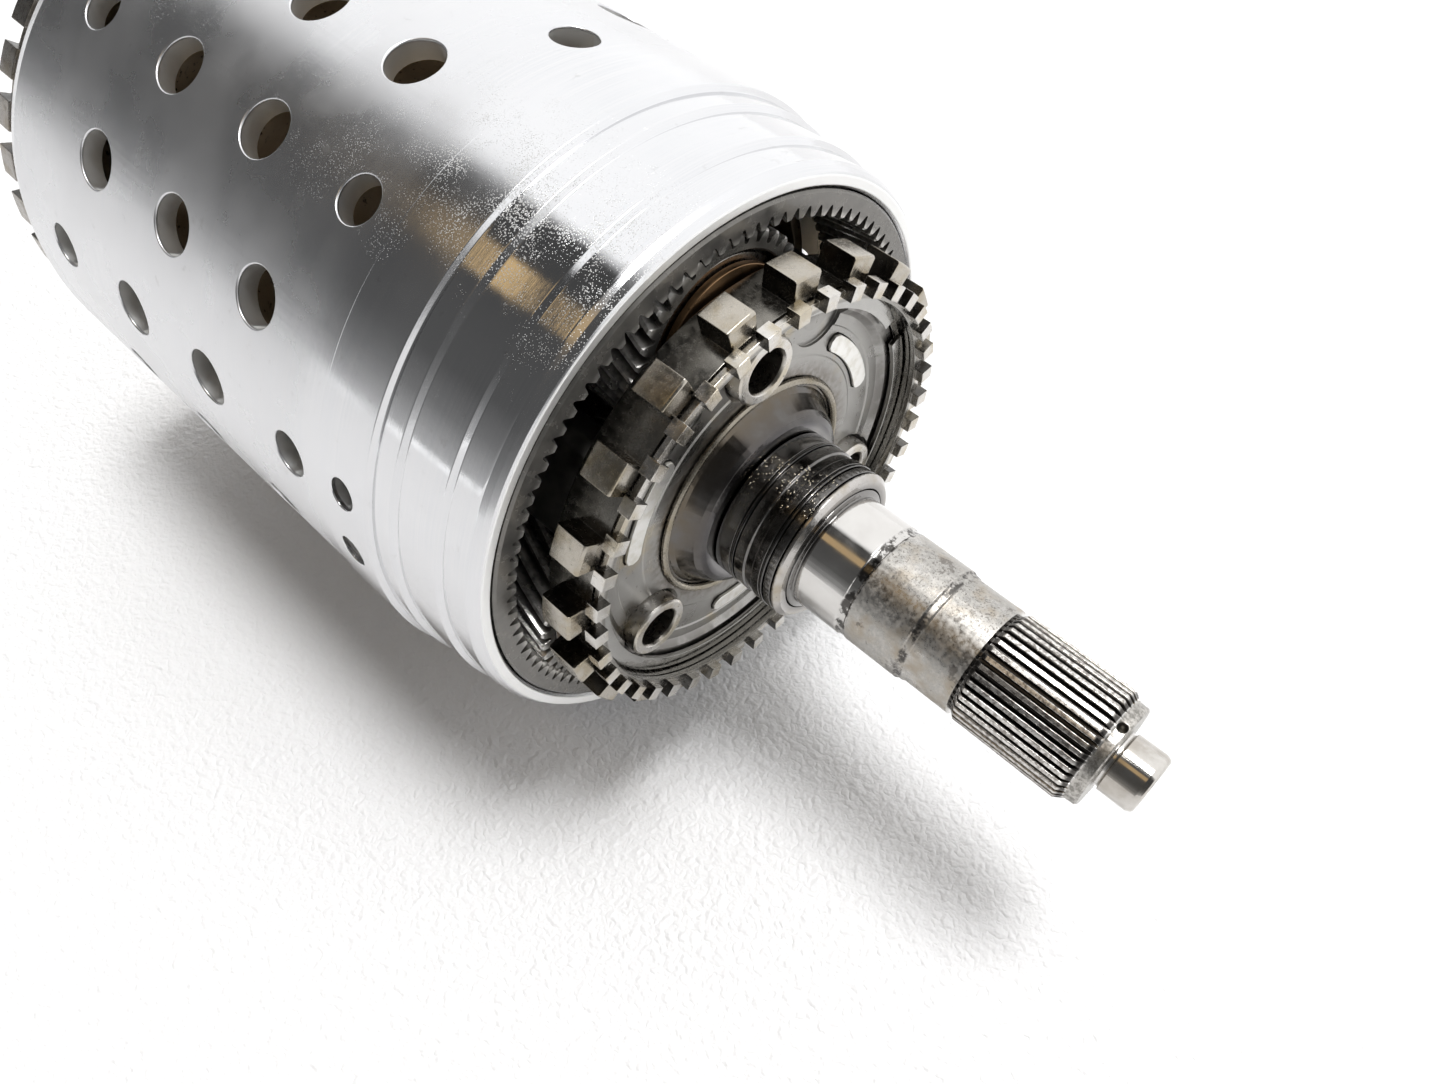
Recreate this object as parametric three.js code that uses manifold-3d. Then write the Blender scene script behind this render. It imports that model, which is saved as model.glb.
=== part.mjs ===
// Planetary gear set of an automatic transmission: perforated drum with its ring gear,
// three-planet carrier with the parking gear and speed ring, and the splined output shaft.
// Millimetres. The shaft axis runs along +X, the nose of the shaft ends it, +Z is up.
import * as THREE from "three";
import { mergeVertices } from "three/addons/utils/BufferGeometryUtils.js";
import Module from "manifold-3d";

const wasm = await Module();
wasm.setup();

// ---- driving dimensions ----
const DEG = Math.PI / 180;
const CLEAR = 0.3;

const DRUM_R = 80.6;
const DRUM_BAND_R = 81.1;
const DRUM_BORE = 72.3;
const DRUM_INNER = 75.4;
const DRUM_REAR = -196;
const DRUM_SIDES = 48;
const NOTCHES = 36;
const NOTCH_R = 79;
const NOTCH_ROOT = 75.5;
const HOLE_ROWS = 8;
const HOLE_R = 7.0;
const HOLE_END_R = 5.7;
const HOLE_PITCH = 34.8;
const HOLE_FRONT = -63.5;
const HOLE_ROW_ANGLE = 30.9;

const MODULE = 1.32;
const RING_TEETH = 101;
const PLANET_TEETH = 38;
const SUN_TEETH = 25;
const PLANETS = 3;
const CARRIER_PHASE = 88.5;
const GEAR_FRONT = -4;
const GEAR_REAR = -30;
const PLANET_FACE = -0.9;
const WASHER_SEAT_R = 21.5;
const THRUST_WASHER_R = 15;
const HELIX = 20 * DEG;
const PIN_CIRCLE = ((RING_TEETH - PLANET_TEETH) * MODULE) / 2;

const PLATE_BACK = 0.5;
const PLATE_FRONT = 9.4;
const PLATE_R = 52.6;
const RIM_BORE = 52.9;
const RIM_R = 57.6;
const RIM_FRONT = 14.9;
const LUGS = 20;
const LUG_R = 63.7;
const LUG_BACK = 5.4;
const SPEED_TEETH = 40;
const SPEED_R = 59.6;
const SPEED_FRONT = 18.6;

const PIN_R = 8.5;
const PIN_BORE = 5.6;
const PIN_FRONT = 13.0;
const PIN_BACK = -37.5;
const NEEDLE_R = 11.0;
const CAGE_BACK = -38;
const CAGE_PLATE = -32.2;
const CAGE_R = 57;

const HUB_R = 29.5;
const SLEEVE_R = 20.2;
const SEAT_R = 16.8;
const JOURNAL_R = 15.2;
const SPLINE_TEETH = 41;
const SPLINE_R = 14.5;
const SPLINE_ROOT = 13.2;
const SPLINE_BACK = 82.4;
const SPLINE_FRONT = 112.3;
const NOSE_R = 7.4;
const NOSE_END = 125;

// ---- materials ----
const finish = (color, roughness, metalness) =>
  new THREE.MeshStandardMaterial({ color, roughness, metalness });
const drumSteel = finish(0xc9cbce, 0.32, 1);
const gearSteel = finish(0x6a6764, 0.42, 1);
const wornSteel = finish(0xa59c8c, 0.4, 1);
const plateSteel = finish(0x8a8986, 0.5, 1);
const brightSteel = finish(0xd5d6d8, 0.18, 1);
const oiledSteel = finish(0x2b2b2e, 0.35, 1);
const bronze = finish(0x9a6b3f, 0.4, 1);

// ---- solids ----
// A closed body made from any closed three.js geometry, faces turned outwards.
function solid(geometry) {
  const bare = geometry.index ? geometry.toNonIndexed() : geometry.clone();
  bare.deleteAttribute("normal");
  bare.deleteAttribute("uv");
  const merged = mergeVertices(bare, 1e-4);
  const index = merged.index.array;
  const kept = [];
  for (let i = 0; i < index.length; i += 3) {
    const [a, b, c] = [index[i], index[i + 1], index[i + 2]];
    if (a !== b && b !== c && c !== a) kept.push(a, b, c);
  }
  const build = () =>
    new wasm.Manifold(
      new wasm.Mesh({
        numProp: 3,
        vertProperties: merged.attributes.position.array,
        triVerts: new Uint32Array(kept),
      }),
    );
  const made = build();
  if (made.volume() > 0) return made;
  for (let i = 0; i < kept.length; i += 3) [kept[i + 1], kept[i + 2]] = [kept[i + 2], kept[i + 1]];
  return build();
}

// A turned body: pairs of position along X and radius, going once round the section.
function turned(profile, sides = 48) {
  const points = profile.map(([x, r]) => new THREE.Vector2(r, x));
  const onAxis = profile[0][1] === 0 && profile[profile.length - 1][1] === 0;
  if (!onAxis) points.push(points[0].clone());
  const lathe = new THREE.LatheGeometry(points, sides, Math.PI / sides);
  return solid(lathe.rotateZ(-Math.PI / 2));
}

const tube = (back, front, inner, outer, sides) =>
  turned([[back, inner], [front, inner], [front, outer], [back, outer]], sides);

// A flat outline in the plane across the shaft, pushed along X and twisted about it.
function prism(outline, holes, back, front, steps = 1, twist = 0) {
  const shape = new THREE.Shape(outline);
  for (const hole of holes) shape.holes.push(new THREE.Path(hole));
  const pushed = new THREE.ExtrudeGeometry(shape, {
    depth: front - back,
    steps,
    bevelEnabled: false,
  });
  pushed.applyMatrix4(new THREE.Matrix4().set(0, 0, 1, back, 1, 0, 0, 0, 0, 1, 0, 0, 0, 0, 0, 1));
  const at = pushed.getAttribute("position");
  for (let i = 0; i < at.count; i++) {
    const turn = twist * (at.getX(i) - front);
    const [y, z] = [at.getY(i), at.getZ(i)];
    at.setY(i, y * Math.cos(turn) - z * Math.sin(turn));
    at.setZ(i, y * Math.sin(turn) + z * Math.cos(turn));
  }
  return solid(pushed);
}

const polar = (radius, degrees) =>
  new THREE.Vector2(radius * Math.cos(degrees * DEG), radius * Math.sin(degrees * DEG));

const circle = (radius, sides, start = 0) =>
  Array.from({ length: sides }, (_, k) => polar(radius, start + (360 * k) / sides));

// Outline of a wheel with square teeth; shares are parts of one pitch at the root and at the tip.
function squareToothed(teeth, root, tip, rootShare, tipShare, first) {
  const pitch = 360 / teeth;
  const outline = [];
  for (let k = 0; k < teeth; k++) {
    const middle = first + k * pitch;
    outline.push(polar(root, middle - (rootShare * pitch) / 2));
    outline.push(polar(tip, middle - (tipShare * pitch) / 2));
    outline.push(polar(tip, middle + (tipShare * pitch) / 2));
    outline.push(polar(root, middle + (rootShare * pitch) / 2));
  }
  return outline;
}

// Outline of a wheel with fine teeth: a flat tip, and one corner at the bottom of each space.
function fineToothed(teeth, root, tip, tipShare, first) {
  const pitch = 360 / teeth;
  const outline = [];
  for (let k = 0; k < teeth; k++) {
    const middle = first + k * pitch;
    outline.push(polar(root, middle - pitch / 2));
    outline.push(polar(tip, middle - (tipShare * pitch) / 2));
    outline.push(polar(tip, middle + (tipShare * pitch) / 2));
  }
  return outline;
}

// Outline of a part of an annulus, from one angle to another.
function sector(inner, outer, from, to, cuts = 6) {
  const outline = [];
  for (let k = 0; k <= cuts; k++) outline.push(polar(outer, from + ((to - from) * k) / cuts));
  for (let k = cuts; k >= 0; k--) outline.push(polar(inner, from + ((to - from) * k) / cuts));
  return outline;
}

// The same body moved out to a pin of the carrier.
function atAngle(body, radius, degrees) {
  const place = polar(radius, degrees);
  return body.translate([0, place.x, place.y]);
}

// A round drill that enters a cylinder along its radius.
function drill(x, degrees, radius, reach, depth, sides) {
  const bit = new THREE.CylinderGeometry(radius, radius, depth, sides);
  bit.rotateX(degrees * DEG);
  const place = polar(reach, degrees);
  bit.translate(x, place.x, place.y);
  return solid(bit);
}

const part = new THREE.Group();

function add(name, body, material) {
  const { vertProperties, triVerts } = body.getMesh();
  const geometry = new THREE.BufferGeometry();
  geometry.setAttribute("position", new THREE.BufferAttribute(new Float32Array(vertProperties), 3));
  geometry.setIndex([...triVerts]);
  const flat = geometry.toNonIndexed();
  flat.computeVertexNormals();
  const mesh = new THREE.Mesh(flat, material);
  mesh.name = name;
  part.add(mesh);
}

// ---- drum ----
const across = 1 / Math.cos(Math.PI / DRUM_SIDES);
const drumProfile = [
  [0, DRUM_BORE],
  [0, 75.5],
  [-3.5, 77.2],
  [-11.5, 77.2],
  [-12.2, 78.3],
  [-25, 78.3],
  [-26, 79.8],
  [-32.4, 79.8],
  [-32.4, DRUM_BAND_R],
  [-50, DRUM_BAND_R],
  [-50, DRUM_R],
  [-192, DRUM_R],
  [DRUM_REAR, 77.5],
  [DRUM_REAR, 40],
  [-190, 40],
  [-190, DRUM_INNER],
  [-26.3, DRUM_INNER],
  [-26.3, DRUM_BORE],
].map(([x, r]) => [x, r * across]);
let drum = turned(drumProfile, DRUM_SIDES);
const drills = [];
for (let row = 0; row < HOLE_ROWS; row++) {
  const angle = HOLE_ROW_ANGLE + (row * 360) / HOLE_ROWS;
  for (let k = 0; k < 4; k++) {
    const radius = k === 0 || k === 3 ? HOLE_END_R : HOLE_R;
    drills.push(drill(HOLE_FRONT - k * HOLE_PITCH, angle, radius, 78, 16, 8));
  }
  const between = angle + 180 / HOLE_ROWS;
  for (let k = 0; k < 3; k++) {
    drills.push(drill(HOLE_FRONT - (k + 0.46) * HOLE_PITCH, between, HOLE_R, 78, 16, 8));
  }
}
for (const side of [169.7, 349.7]) {
  for (const half of [-6.5, 6.5]) drills.push(drill(-41.5, side + half, 4, 78, 16, 6));
}
for (const bit of drills) drum = drum.subtract(bit);
add("drum_shell", drum, drumSteel);

const innerDrum = turned([
  [-36, 66],
  [-36, 69.5],
  [-186, 69.5],
  [-189.6, 66],
  [-189.6, 45],
  [-186.6, 45],
  [-186.6, 66],
], 28);
add("inner_drum", innerDrum, bronze);

const rearCore = turned([
  [-206, 24],
  [-206, 72],
  [-203.2, NOTCH_ROOT],
  [-196.3, NOTCH_ROOT],
  [-196.3, 39.6],
  [-186, 39.6],
  [-186, 24],
], NOTCHES);
const notchOutline = squareToothed(NOTCHES, NOTCH_ROOT, NOTCH_R, 0.62, 0.58, 0);
const notches = prism(notchOutline, [circle(66, NOTCHES)], -203.2, -196.3);
add("rear_hub", rearCore.add(notches), oiledSteel);
add("rear_bushing", tube(-205.5, -186.5, 21, 23.7, 24), bronze);

// ---- gears ----
const ringPitch = (RING_TEETH * MODULE) / 2;
const planetPitch = (PLANET_TEETH * MODULE) / 2;
const sunPitch = (SUN_TEETH * MODULE) / 2;
const lead = Math.tan(HELIX);
const RING_START = 0;

const ringTeeth = fineToothed(RING_TEETH, ringPitch + 2.1, ringPitch - 1.1, 0.09, RING_START);
const ringGear = prism(circle(72, DRUM_SIDES, 180 / DRUM_SIDES), [ringTeeth], -26, 0, 1, lead / ringPitch);
add("ring_gear", ringGear, gearSteel);

const retainer = tube(-28.4, -26.6, 69.6, 75, 32).subtract(
  prism(sector(60, 80, -95, -85, 2), [], -30, -25),
);
add("ring_gear_snap_ring", retainer, oiledSteel);

// The planets and the sun are turned so that each tooth stands in a space of its partner
// where the two pitch circles touch, at the front face of the planets.
const ringTurnAtFront = (lead / ringPitch) * GEAR_FRONT;
const ringFirst = RING_START + ringTurnAtFront / DEG;
const planetAngles = Array.from({ length: PLANETS }, (_, k) => CARRIER_PHASE + (360 * k) / PLANETS);
const planetFirst = (angle) =>
  angle - (360 / PLANET_TEETH) * (((angle - ringFirst) * RING_TEETH) / 360 + 0.5);
const sunFirst = (() => {
  const angle = planetAngles[0];
  const planetAcross = ((angle + 180 - planetFirst(angle)) * PLANET_TEETH) / 360;
  return angle - (360 / SUN_TEETH) * (0.5 - planetAcross);
})();

// A planet's teeth reach further forward than its hub, which is sunk to take the washers.
const planetTwist = lead / planetPitch;
planetAngles.forEach((angle, k) => {
  const first = planetFirst(angle) + (planetTwist * (PLANET_FACE - GEAR_FRONT)) / DEG;
  const teeth = fineToothed(PLANET_TEETH, planetPitch - 2, planetPitch + 1.1, 0.09, first);
  const wheel = prism(teeth, [circle(NEEDLE_R + 4 * CLEAR, 16)], GEAR_REAR, PLANET_FACE, 1, planetTwist);
  const gear = wheel.subtract(tube(GEAR_FRONT, 0, 0, WASHER_SEAT_R, 24));
  add(`planet_gear_${k + 1}`, atAngle(gear, PIN_CIRCLE, angle), gearSteel);
});

const sunTeeth = fineToothed(SUN_TEETH, sunPitch - 2, sunPitch + 1.1, 0.09, sunFirst);
const sunGear = prism(sunTeeth, [circle(9, 16)], GEAR_REAR, GEAR_FRONT, 2, -lead / sunPitch);
add("sun_gear", sunGear, gearSteel);
const sunShaft = turned([
  [-30.3, 9],
  [-30.3, 14.4],
  [-56, 14.4],
  [-60, 20.6],
  [-207, 20.6],
  [-207, 13],
  [-170, 13],
  [-170, 9],
], 24);
add("sun_shaft", sunShaft, wornSteel);
add("sun_thrust_washer", tube(-3.5, 0.1, 10, THRUST_WASHER_R, 20), oiledSteel);

// ---- planet pins and their washers ----
planetAngles.forEach((angle, k) => {
  const pin = tube(PIN_BACK, PIN_FRONT, PIN_BORE, PIN_R, 20);
  add(`planet_pin_${k + 1}`, atAngle(pin, PIN_CIRCLE, angle), wornSteel);
});
planetAngles.forEach((angle, k) => {
  const needles = tube(GEAR_REAR + 0.4, GEAR_FRONT - 0.4, PIN_R + CLEAR, NEEDLE_R, 14);
  add(`needle_bearing_${k + 1}`, atAngle(needles, PIN_CIRCLE, angle), oiledSteel);
});
planetAngles.forEach((angle, k) => {
  const washer = tube(-3.5, -2.1, PIN_R + CLEAR, 20.5, 20);
  add(`planet_front_washer_${k + 1}`, atAngle(washer, PIN_CIRCLE, angle), plateSteel);
});
planetAngles.forEach((angle, k) => {
  const washer = tube(-1.7, 0.1, PIN_R + CLEAR, 19, 20);
  add(`planet_bronze_washer_${k + 1}`, atAngle(washer, PIN_CIRCLE, angle), bronze);
});
planetAngles.forEach((angle, k) => {
  const washer = tube(-31.8, -30.4, PIN_R + CLEAR, 20, 14);
  add(`planet_rear_washer_${k + 1}`, atAngle(washer, PIN_CIRCLE, angle), plateSteel);
});

// ---- carrier ----
let cage = turned([[CAGE_BACK, 24], [CAGE_PLATE, 24], [CAGE_PLATE, CAGE_R], [CAGE_BACK, CAGE_R]], 36);
for (const angle of planetAngles) {
  const post = angle + 60;
  cage = cage.add(prism(sector(35, 54, post - 16, post + 16, 3), [], CAGE_PLATE - 1, 0.1));
  cage = cage.add(prism(sector(38.2, 42.8, post - 20, post + 20, 4), [], -1.5, 10.1));
}
for (const angle of planetAngles) {
  cage = cage.subtract(atAngle(tube(CAGE_BACK - 1, CAGE_PLATE + 0.5, 0, PIN_R + CLEAR, 14), PIN_CIRCLE, angle));
}
add("planet_cage", cage, plateSteel);

let plate = turned([
  [PLATE_BACK, HUB_R + CLEAR],
  [PLATE_FRONT, HUB_R + CLEAR],
  [PLATE_FRONT, 47.8],
  [11, 49.2],
  [11, PLATE_R],
  [PLATE_BACK, PLATE_R],
], 40);
for (const angle of planetAngles) {
  plate = plate.subtract(atAngle(tube(-1, 12, 0, PIN_R + CLEAR, 20), PIN_CIRCLE, angle));
  plate = plate.subtract(prism(sector(37.9, 43.1, angle + 39.5, angle + 80.5, 4), [], -1, 12));
}
plate = plate.subtract(atAngle(tube(8.5, 12, 0, 8.4, 14), 47.2, CARRIER_PHASE - 27));
plate = plate.subtract(atAngle(tube(8.7, 12, 0, 6, 12), 46.6, CARRIER_PHASE + 27));
add("carrier_front_plate", plate, plateSteel);

const lugOutline = squareToothed(LUGS, RIM_R, LUG_R, 0.42, 0.38, CARRIER_PHASE + 9);
const lugs = prism(lugOutline, [circle(RIM_BORE, 40, 4.5)], LUG_BACK, 11.3);
const lugFronts = prism(lugOutline, [circle(54.7, 40, 4.5)], 11.2, RIM_FRONT - 0.4);
const rim = tube(1, LUG_BACK + 0.1, RIM_BORE, RIM_R, 40);
add("park_gear", rim.add(lugs).add(lugFronts), wornSteel);

let speedRing = tube(RIM_FRONT, 16.4, 54.6, 57.4, 40);
for (let k = 0; k < SPEED_TEETH; k++) {
  const middle = CARRIER_PHASE + ((k + 0.5) * 360) / SPEED_TEETH;
  const tooth = prism(sector(55.6, SPEED_R, middle - 1.9, middle + 1.9, 1), [], RIM_FRONT, SPEED_FRONT);
  speedRing = speedRing.add(tooth);
}
add("speed_ring", speedRing, wornSteel);

const circlip = tube(11.6, 13, 50.4, 54.2, 40).subtract(prism(sector(45, 58, 19, 29, 2), [], 10, 14));
add("carrier_snap_ring", circlip, oiledSteel);

// ---- output shaft ----
const shaftBody = turned([
  [20, 0],
  [20, 8],
  [PLATE_BACK, 8],
  [PLATE_BACK, HUB_R],
  [PLATE_FRONT, HUB_R],
  [PLATE_FRONT, 28.4],
  [12, 26.4],
  [15.8, 23.9],
  [16.4, 21.2],
  [16.4, SEAT_R],
  [37, SEAT_R],
  [37.2, JOURNAL_R],
  [50.4, JOURNAL_R],
  [50.4, 14.8],
  [52.6, 15],
  [67.7, 15],
  [68.5, 14.4],
  [SPLINE_BACK - 0.6, 14.2],
  [SPLINE_BACK, SPLINE_ROOT - 0.2],
  [SPLINE_FRONT, SPLINE_ROOT - 0.2],
  [115.4, 12.8],
  [115.4, 6.8],
  [116.4, 6.8],
  [116.4, NOSE_R],
  [123.9, NOSE_R],
  [NOSE_END, 6.5],
  [NOSE_END, 5.2],
  [123.6, 4.6],
  [123.6, 0],
], 24);
const splineOutline = fineToothed(SPLINE_TEETH, SPLINE_ROOT, SPLINE_R, 0.34, 90);
const spline = prism(splineOutline, [], SPLINE_BACK + 0.3, SPLINE_FRONT - 0.3);
const oilHole = drill(113.8, 92, 1.2, 10, 10, 8);
add("output_shaft", shaftBody.add(spline).subtract(oilHole), brightSteel);

const bead = turned([[9.7, 29.2], [10.8, 29.8], [10.8, 30.6], [9.7, 31.3]], 36);
add("hub_weld_bead", bead, wornSteel);

const sleeve = turned([
  [16.8, 17.1],
  [16.8, SLEEVE_R],
  [21.4, SLEEVE_R],
  [21.4, 19],
  [22.9, 19],
  [22.9, SLEEVE_R],
  [30.8, SLEEVE_R],
  [30.8, 19],
  [32.3, 19],
  [32.3, SLEEVE_R],
  [34.4, SLEEVE_R],
  [34.4, 17.1],
], 28);
add("seal_sleeve", sleeve, oiledSteel);
add("seal_ring_1", tube(21.7, 22.6, 19.3, 20.4, 28), oiledSteel);
add("seal_ring_2", tube(31.1, 32, 19.3, 20.4, 28), oiledSteel);
const endRing = turned([
  [34.7, 17.1],
  [34.7, 20.3],
  [35.8, 20.3],
  [36.8, 19],
  [36.8, 17.1],
], 28);
add("sleeve_end_ring", endRing, brightSteel);

// The part stands on z = 0 with the axis level, its middle over the origin.
part.position.set(-(NOSE_END - 207) / 2, 0, DRUM_BAND_R);

export default part;
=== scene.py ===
"""Looks of the planetary gear set: perforated drum, ring gear, three-planet carrier and output shaft.

Shapes are written in millimetres about the shaft's axis: x along the shaft from the drum's
front face, a radius, and an angle from +Y towards +Z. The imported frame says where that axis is.
"""
import math

import bmesh
import bpy
import numpy as np
from mathutils import Matrix, Vector

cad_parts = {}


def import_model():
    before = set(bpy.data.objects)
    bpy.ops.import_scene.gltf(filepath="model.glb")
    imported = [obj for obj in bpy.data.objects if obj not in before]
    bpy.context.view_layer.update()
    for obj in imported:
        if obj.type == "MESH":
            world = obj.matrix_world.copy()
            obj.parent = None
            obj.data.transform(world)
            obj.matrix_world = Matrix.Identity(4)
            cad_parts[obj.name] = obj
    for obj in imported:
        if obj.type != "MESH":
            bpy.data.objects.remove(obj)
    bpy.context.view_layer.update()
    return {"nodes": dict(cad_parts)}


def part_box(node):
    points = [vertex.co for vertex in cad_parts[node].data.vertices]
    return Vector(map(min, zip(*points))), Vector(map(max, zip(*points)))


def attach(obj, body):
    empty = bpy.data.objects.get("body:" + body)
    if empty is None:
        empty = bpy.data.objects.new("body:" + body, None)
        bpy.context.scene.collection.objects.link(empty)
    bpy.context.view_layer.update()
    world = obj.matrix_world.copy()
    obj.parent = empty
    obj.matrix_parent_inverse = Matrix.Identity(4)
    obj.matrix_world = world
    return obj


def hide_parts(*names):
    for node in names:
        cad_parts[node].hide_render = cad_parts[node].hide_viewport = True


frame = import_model()

MM = 0.001
TAU = 2 * math.pi
_low, _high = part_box("drum_shell")
FRONT_X = _high.x
AXIS_Z = (_low.z + _high.z) / 2

# ---- driving dimensions, in millimetres and degrees ----
MODULE = 1.32
LEAD = math.tan(math.radians(20))
PRESSURE = math.atan(math.tan(math.radians(20)) / math.cos(math.radians(20)))
RING_TEETH, PLANET_TEETH = 101, 38
RING_PITCH_R = RING_TEETH * MODULE / 2
PLANET_PITCH_R = PLANET_TEETH * MODULE / 2
GEAR_BACK, GEAR_FRONT = -30, -4
PLANET_FACE, WASHER_SEAT_R = -0.9, 21.5
PIN_CIRCLE = RING_PITCH_R - PLANET_PITCH_R
CARRIER_PHASE = 88.5
PLANET_ANGLES = [CARRIER_PHASE + 120 * k for k in range(3)]
PIN_HOLE_R = 8.8
DRUM_R, BAND_R = 80.6, 81.1
HOLE_R, HOLE_END_R, HOLE_PITCH, HOLE_FRONT = 7.0, 5.7, 34.8, -63.5
HOLE_ROWS, HOLE_ROW_ANGLE = 8, 30.9
RIM_BORE, RIM_R, LUG_R = 52.9, 57.6, 63.7
LUGS, SPEED_TEETH, SPLINE_TEETH = 20, 40, 41
NOTCHES, NOTCH_R, NOTCH_ROOT, NOTCH_DEGREES = 36, 78.9, 75.4, 5.9
SKY, KEY = 1.35, 1.9


# ---- meshes ----
def place(points):
    """Row-frame positions of points given as x, radius, angle in radians."""
    p = np.asarray(points, float)
    y = p[..., 1] * np.cos(p[..., 2])
    z = p[..., 1] * np.sin(p[..., 2])
    return np.stack([FRONT_X + p[..., 0] * MM, y * MM, AXIS_Z + z * MM], axis=-1)


def new_object(name, vertices, faces):
    mesh = bpy.data.meshes.new(name)
    mesh.from_pydata([tuple(v) for v in vertices], [], faces)
    body = bmesh.new()
    body.from_mesh(mesh)
    bmesh.ops.remove_doubles(body, verts=body.verts, dist=1e-7)
    bmesh.ops.dissolve_degenerate(body, edges=body.edges, dist=1e-7)
    bmesh.ops.recalc_face_normals(body, faces=body.faces)
    body.to_mesh(mesh)
    body.free()
    piece = bpy.data.objects.new(name, mesh)
    bpy.context.scene.collection.objects.link(piece)
    return piece


def skin(name, columns, centre=(0, 0), round_trip=True):
    """A closed body from columns of x, radius, angle. Each column goes once round the section.

    Without round_trip the row of columns is open, and its first and last column are capped.
    """
    grid = np.asarray(columns, float)
    count, length = grid.shape[:2]
    points = place(grid)
    points[..., 1] += centre[0] * MM
    points[..., 2] += centre[1] * MM
    spans = count if round_trip else count - 1
    on_axis = grid[0, 0, 1] == 0 and grid[0, -1, 1] == 0
    faces = []
    for i in range(spans):
        here, there = i * length, ((i + 1) % count) * length
        for j in range(length - on_axis):
            k = (j + 1) % length
            faces.append((here + j, there + j, there + k, here + k))
    if not round_trip:
        faces.append(tuple(range(length)))
        faces.append(tuple(range((count - 1) * length, count * length)))
    return new_object(name, points.reshape(-1, 3), faces)


def rounded(profile, radius, steps=3, closed=True):
    """The same section with each corner turned into an arc, as far as its two edges allow."""
    points = [Vector(p) for p in profile]
    made = []
    for i, corner in enumerate(points):
        if not closed and i in (0, len(points) - 1):
            made.append(tuple(corner))
            continue
        before, after = points[i - 1] - corner, points[(i + 1) % len(points)] - corner
        turn = math.pi - before.angle(after)
        if turn < math.radians(12):
            made.append(tuple(corner))
            continue
        reach = min(radius * math.tan(turn / 2), 0.4 * before.length, 0.4 * after.length)
        start, end = corner + before.normalized() * reach, corner + after.normalized() * reach
        for k in range(steps + 1):
            t = k / steps
            made.append(tuple(start * (1 - t) ** 2 + corner * 2 * t * (1 - t) + end * t * t))
    return made


def turned(name, profile, sides=128, radius=0.3, centre=(0, 0), open_ends=False):
    """A lathe body from pairs of x and radius; with open_ends the section starts and ends on the axis."""
    section = rounded(profile, radius, closed=not open_ends)
    columns = [[(x, r, TAU * k / sides) for x, r in section] for k in range(sides)]
    return skin(name, columns, centre)


def ring(name, back, front, inner, outer, **kwargs):
    return turned(name, [(back, inner), (front, inner), (front, outer), (back, outer)], **kwargs)


def at_angle(radius, degrees):
    turn = math.radians(degrees)
    return radius * math.cos(turn), radius * math.sin(turn)


def modify(piece, kind, **settings):
    """Adds a modifier with these settings and applies it."""
    modifier = piece.modifiers.new(kind, kind)
    for name, value in settings.items():
        setattr(modifier, name, value)
    bpy.context.view_layer.update()
    graph = bpy.context.evaluated_depsgraph_get()
    made = bpy.data.meshes.new_from_object(piece.evaluated_get(graph))
    piece.modifiers.clear()
    old, piece.data = piece.data, made
    bpy.data.meshes.remove(old)
    return piece


def combine(piece, tools, operation="DIFFERENCE"):
    """Cuts the tools out of the piece, or adds them to it, and deletes them."""
    for tool in tools[1:]:
        merged = bmesh.new()
        merged.from_mesh(tools[0].data)
        merged.from_mesh(tool.data)
        merged.to_mesh(tools[0].data)
        merged.free()
        bpy.data.objects.remove(tool)
    modify(piece, "BOOLEAN", object=tools[0], operation=operation, solver="EXACT")
    bpy.data.objects.remove(tools[0])
    return piece


def soften(piece, width, segments=2, angle=30):
    return modify(
        piece, "BEVEL", width=width * MM, segments=segments, limit_method="ANGLE",
        angle_limit=math.radians(angle), use_clamp_overlap=False, miter_outer="MITER_ARC",
    )


def smooth(piece, angle=32):
    """Smooth shading that keeps flat faces flat and real corners sharp."""
    piece.data.shade_smooth()
    piece.data.set_sharp_from_angle(angle=math.radians(angle))
    return modify(piece, "WEIGHTED_NORMAL", keep_sharp=True, weight=80)


def finished(piece, body, slot, paint, *nodes, angle=32):
    smooth(piece, angle)
    piece.data.materials.clear()
    piece.data.materials.append(paint)
    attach(piece, body)
    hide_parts(*nodes)
    return piece


def involute(angle):
    return math.tan(angle) - angle


def tooth_share(teeth, pitch_radius, radius, play):
    """Half the width of an involute tooth at a radius, as a share of one pitch."""
    base = pitch_radius * math.cos(PRESSURE)
    lean = math.acos(min(1, base / max(radius, base)))
    return 0.25 * (1 - play) + (involute(PRESSURE) - involute(lean)) * teeth / TAU


def gear_tooth(teeth, pitch_radius, root, tip, internal=False, play=0.06, cuts=4):
    """Pairs of share of the pitch and radius across one tooth, from the middle of a space."""
    half = []
    for k in range(cuts + 1):
        radius = root + (tip - root) * (0.12 + 0.8 * k / cuts)
        share = tooth_share(teeth, pitch_radius, radius, -play if internal else play)
        half.append((0.5 - share if internal else share, radius))
    foot = min(0.47, half[0][0] + 0.05)
    side = [(foot, root)] + half + [(half[-1][0] * 0.82, tip)]
    return [(-s, r) for s, r in side] + [(s, r) for s, r in reversed(side)]


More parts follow.
